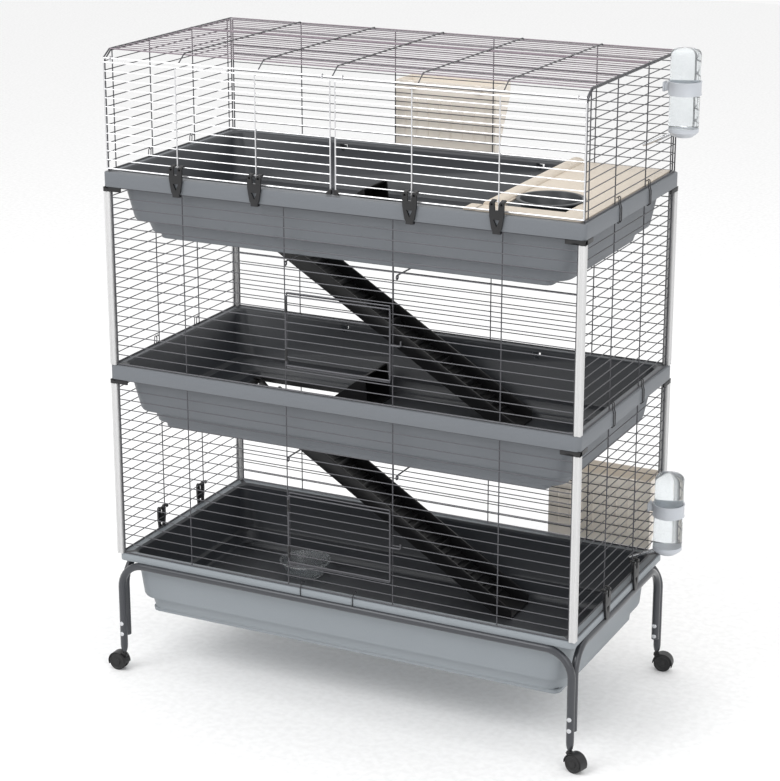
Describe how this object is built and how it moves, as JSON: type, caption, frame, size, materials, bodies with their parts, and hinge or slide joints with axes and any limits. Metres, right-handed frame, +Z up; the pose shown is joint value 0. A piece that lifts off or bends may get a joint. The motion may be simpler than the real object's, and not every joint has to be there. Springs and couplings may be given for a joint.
{
  "type": "ferret cage",
  "caption": "Tall wire cage on a wheeled tube stand, with stacked moulded trays, ramps between levels, lift-up top doors and side-hung drinking bottles.",
  "frame": {"origin": "on the floor, under the middle of the outer box that holds the cage, its bottles and its hay racks", "axes": "+X to the right along the long side seen from the front, -Y towards the front, +Z up"},
  "size_m": [1.2942, 0.6932, 1.541],
  "materials": {
    "grey_plastic": "moulded, slightly satin",
    "light_grey_plastic": "moulded, slightly satin",
    "white_post": "coated white, with black moulded corner pieces",
    "dark_tube": "satin charcoal coating",
    "black_plastic": "moulded",
    "bright_wire": "zinc plated",
    "dark_wire": "grey coated wire",
    "beige_plastic": "moulded",
    "clear_plastic": "clear",
    "charcoal_plastic": "moulded",
    "pale_plastic": "moulded"
  },
  "bodies": {
    "cage": {"bottom_tray": "light_grey_plastic", "lower_back_panel": "dark_wire", "lower_front_panel": "dark_wire", "lower_left_panel": "dark_wire", "lower_post_back_left": "white_post", "lower_post_back_right": "white_post", "lower_post_front_left": "white_post", "lower_post_front_right": "white_post", "lower_ramp": "black_plastic", "lower_right_panel": "dark_wire", "middle_back_panel": "dark_wire", "middle_front_panel": "dark_wire", "middle_left_panel": "dark_wire", "middle_passage_collar": "black_plastic", "middle_post_back_left": "white_post", "middle_post_back_right": "white_post", "middle_post_front_left": "white_post", "middle_post_front_right": "white_post", "middle_right_panel": "dark_wire", "middle_support_rod_left": "dark_wire", "middle_support_rod_right": "dark_wire", "middle_tray": "grey_plastic", "shelf": "beige_plastic", "stand_back_tube": "dark_tube", "stand_front_tube": "dark_tube", "stand_left_tube": "dark_tube", "stand_right_tube": "dark_tube", "top_back_panel": "dark_wire", "top_left_panel": "dark_wire", "top_passage_collar": "black_plastic", "top_right_panel": "dark_wire", "top_roof_panel": "dark_wire", "top_support_rod_left": "dark_wire", "top_support_rod_right": "dark_wire", "top_tray": "grey_plastic", "upper_ramp": "black_plastic"},
    "front_left_swivel": {"caster_fork_front_left": "black_plastic"},
    "front_left_wheel": {"caster_wheel_front_left": "black_plastic"},
    "front_right_swivel": {"caster_fork_front_right": "black_plastic"},
    "front_right_wheel": {"caster_wheel_front_right": "black_plastic"},
    "back_left_swivel": {"caster_fork_back_left": "black_plastic"},
    "back_left_wheel": {"caster_wheel_back_left": "black_plastic"},
    "back_right_swivel": {"caster_fork_back_right": "black_plastic"},
    "back_right_wheel": {"caster_wheel_back_right": "black_plastic"},
    "top_left_door_leaf": {"top_left_door": "bright_wire"},
    "top_right_door_leaf": {"top_right_door": "bright_wire"},
    "clip_1": {"rim_clip_1": "black_plastic"},
    "clip_2": {"rim_clip_2": "black_plastic"},
    "clip_3": {"rim_clip_3": "black_plastic"},
    "clip_4": {"rim_clip_4": "black_plastic"},
    "middle_door_leaf": {"middle_door": "dark_wire"},
    "lower_door_leaf": {"lower_door": "dark_wire"},
    "food_bowl_body": {"food_bowl": "charcoal_plastic"},
    "clear_bowl_body": {"clear_bowl": "clear_plastic"},
    "upper_bottle_body": {"upper_bottle": "clear_plastic", "upper_bottle_clamp": "pale_plastic"},
    "lower_bottle_body": {"lower_bottle": "clear_plastic", "lower_bottle_clamp": "pale_plastic"},
    "upper_rack_body": {"upper_hay_rack": "beige_plastic"},
    "lower_rack_body": {"lower_hay_rack": "beige_plastic"}
  },
  "joints": [
    {"name": "front_left_caster_swivel", "type": "hinge", "parent": "cage", "child": "front_left_swivel", "pos_m": [-0.60473, -0.32387, 0.04], "axis": [0, 0, 1], "continuous": true},
    {"name": "front_left_wheel_roll", "type": "hinge", "parent": "front_left_swivel", "child": "front_left_wheel", "pos_m": [-0.62073, -0.32387, 0.02125], "axis": [0, -1, 0], "continuous": true},
    {"name": "front_right_caster_swivel", "type": "hinge", "parent": "cage", "child": "front_right_swivel", "pos_m": [0.55927, -0.32387, 0.04], "axis": [0, 0, 1], "continuous": true},
    {"name": "front_right_wheel_roll", "type": "hinge", "parent": "front_right_swivel", "child": "front_right_wheel", "pos_m": [0.57465, -0.32828, 0.02125], "axis": [0.2756, 0.9613, 0], "continuous": true},
    {"name": "back_left_caster_swivel", "type": "hinge", "parent": "cage", "child": "back_left_swivel", "pos_m": [-0.60473, 0.25013, 0.04], "axis": [0, 0, 1], "continuous": true},
    {"name": "back_left_wheel_roll", "type": "hinge", "parent": "back_left_swivel", "child": "back_left_wheel", "pos_m": [-0.62038, 0.25346, 0.02125], "axis": [-0.2079, -0.9781, 0], "continuous": true},
    {"name": "back_right_caster_swivel", "type": "hinge", "parent": "cage", "child": "back_right_swivel", "pos_m": [0.55927, 0.25013, 0.04], "axis": [0, 0, 1], "continuous": true},
    {"name": "back_right_wheel_roll", "type": "hinge", "parent": "back_right_swivel", "child": "back_right_wheel", "pos_m": [0.57511, 0.25236, 0.02125], "axis": [-0.1392, 0.9903, 0], "continuous": true},
    {"name": "top_left_door_hinge", "type": "hinge", "parent": "cage", "child": "top_left_door_leaf", "pos_m": [-0.31273, -0.32087, 1.502], "axis": [-1, 0, 0], "range_deg": [0, 195]},
    {"name": "top_right_door_hinge", "type": "hinge", "parent": "cage", "child": "top_right_door_leaf", "pos_m": [0.26727, -0.32087, 1.502], "axis": [-1, 0, 0], "range_deg": [0, 195]},
    {"name": "rim_clip_1_hinge", "type": "hinge", "parent": "top_left_door_leaf", "child": "clip_1", "pos_m": [-0.41473, -0.32087, 1.26862], "axis": [-1, 0, 0], "range_deg": [0, 100]},
    {"name": "rim_clip_2_hinge", "type": "hinge", "parent": "top_left_door_leaf", "child": "clip_2", "pos_m": [-0.21273, -0.32087, 1.26862], "axis": [-1, 0, 0], "range_deg": [0, 100]},
    {"name": "rim_clip_3_hinge", "type": "hinge", "parent": "top_right_door_leaf", "child": "clip_3", "pos_m": [0.16727, -0.32087, 1.26862], "axis": [-1, 0, 0], "range_deg": [0, 100]},
    {"name": "rim_clip_4_hinge", "type": "hinge", "parent": "top_right_door_leaf", "child": "clip_4", "pos_m": [0.36927, -0.32087, 1.26862], "axis": [-1, 0, 0], "range_deg": [0, 100]},
    {"name": "middle_door_hinge", "type": "hinge", "parent": "cage", "child": "middle_door_leaf", "pos_m": [-0.14173, -0.32557, 0.923], "axis": [0, 0, -1], "range_deg": [0, 170]},
    {"name": "lower_door_hinge", "type": "hinge", "parent": "cage", "child": "lower_door_leaf", "pos_m": [-0.14173, -0.32557, 0.449], "axis": [0, 0, -1], "range_deg": [0, 170]},
    {"name": "food_bowl_lift", "type": "slide", "parent": "cage", "child": "food_bowl_body", "axis": [0, 0, 1], "range_m": [0, 0.12]},
    {"name": "clear_bowl_lift", "type": "slide", "parent": "cage", "child": "clear_bowl_body", "axis": [0, 0, 1], "range_m": [0, 0.2]},
    {"name": "upper_bottle_pull", "type": "slide", "parent": "cage", "child": "upper_bottle_body", "axis": [0.8988, 0, 0.4384], "range_m": [0, 0.08]},
    {"name": "lower_bottle_pull", "type": "slide", "parent": "cage", "child": "lower_bottle_body", "axis": [0.8988, 0, 0.4384], "range_m": [0, 0.08]},
    {"name": "upper_hay_rack_lift", "type": "slide", "parent": "cage", "child": "upper_rack_body", "axis": [0, 0, 1], "range_m": [0, 0.06]},
    {"name": "lower_hay_rack_lift", "type": "slide", "parent": "cage", "child": "lower_rack_body", "axis": [0, 0, 1], "range_m": [0, 0.06]}
  ]
}
